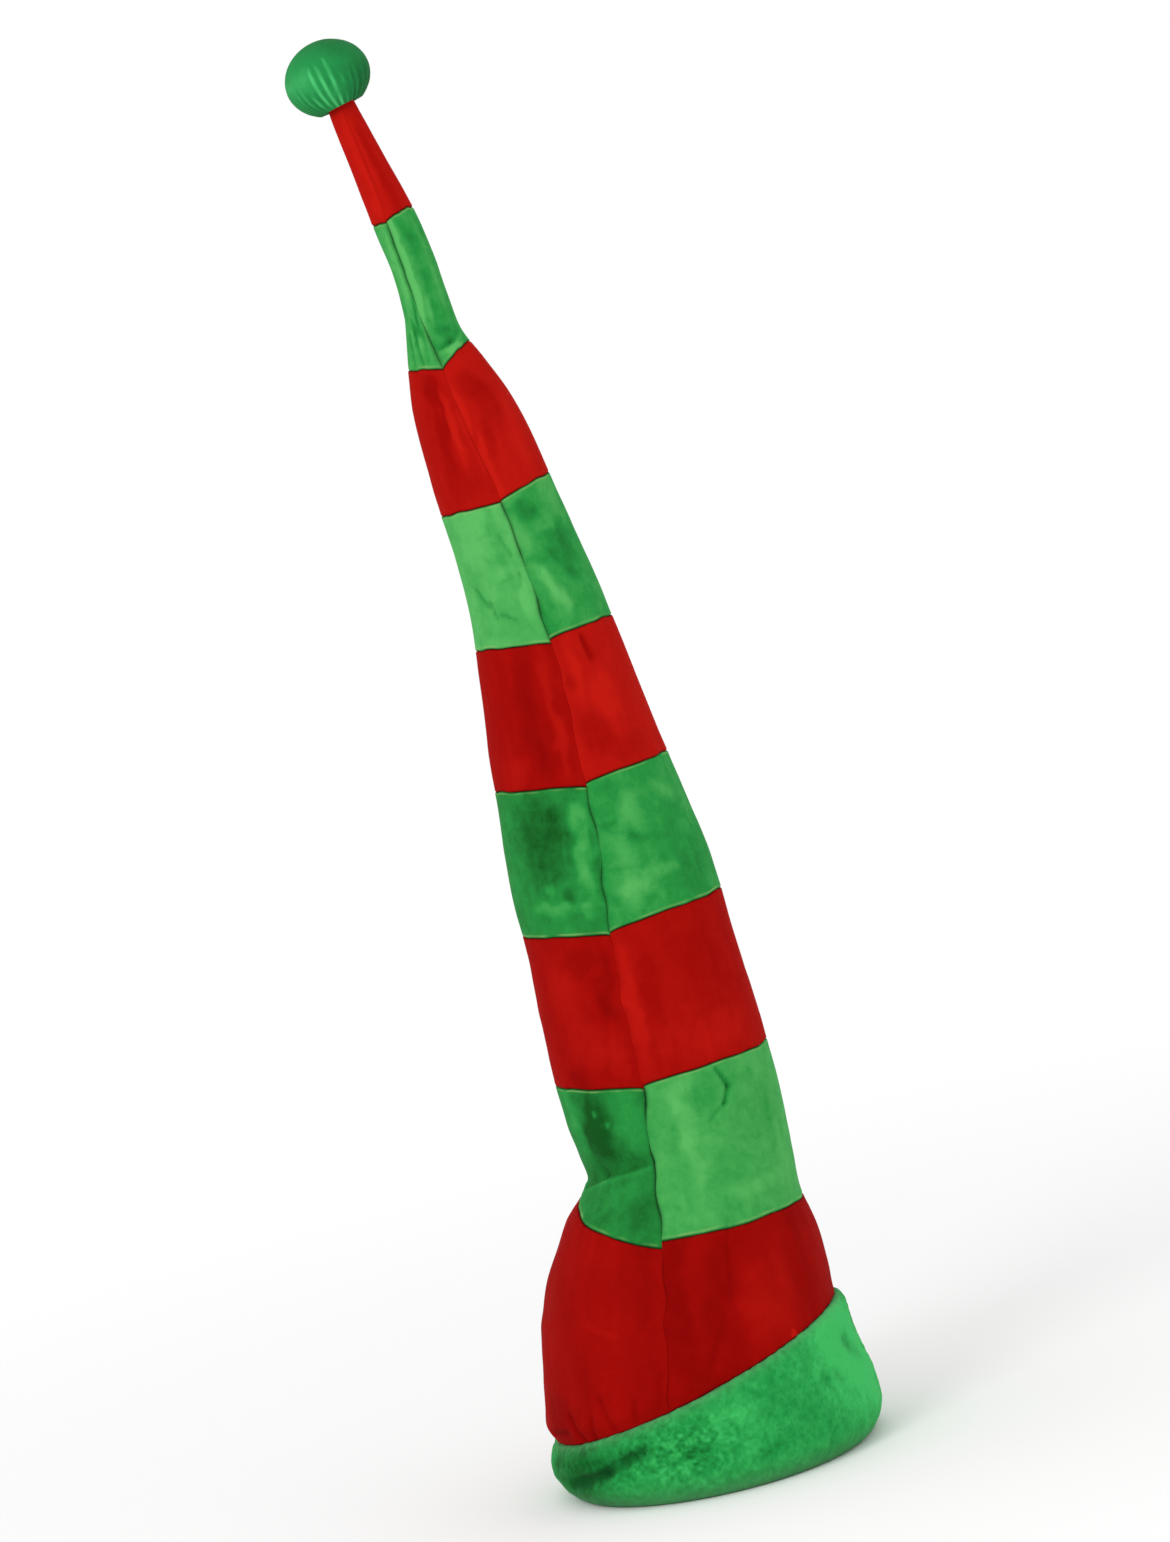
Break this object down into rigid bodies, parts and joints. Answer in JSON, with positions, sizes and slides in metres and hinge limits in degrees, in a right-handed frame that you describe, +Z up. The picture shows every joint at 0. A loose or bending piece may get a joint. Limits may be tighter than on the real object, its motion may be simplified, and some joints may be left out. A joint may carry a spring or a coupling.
{
  "type": "elf hat",
  "caption": "Tall costume hat in red and green plush stripes: a folded cuff round an open hollow crown, a long leaning spire, a thin neck and a gathered ball at the tip.",
  "frame": {"origin": "centre of the rim that the hat stands on", "axes": "+Z up along the hat, -Y out of the wearer's front, +X to the right as seen from the front"},
  "size_m": [0.2044, 0.2084, 0.8861],
  "materials": {
    "cuff_plush": "short green plush pile",
    "red_velour": "smooth red velour with a soft nap",
    "green_velour": "crushed green velour with a soft nap",
    "ball_plush": "satin green plush, gathered and stuffed"
  },
  "bodies": {
    "root": {"cuff": "cuff_plush", "stripe_1_left": "red_velour", "stripe_1_right": "red_velour", "stripe_2_left": "green_velour", "stripe_2_right": "green_velour", "stripe_3_left": "red_velour", "stripe_3_right": "red_velour", "stripe_4_left": "green_velour", "stripe_4_right": "green_velour", "stripe_5_left": "red_velour", "stripe_5_right": "red_velour", "stripe_6_left": "green_velour", "stripe_6_right": "green_velour", "stripe_7_left": "red_velour", "stripe_7_right": "red_velour", "stripe_8_left": "green_velour", "stripe_8_right": "green_velour", "stripe_9_left": "red_velour", "stripe_9_right": "red_velour", "ball": "ball_plush"}
  },
  "joints": []
}
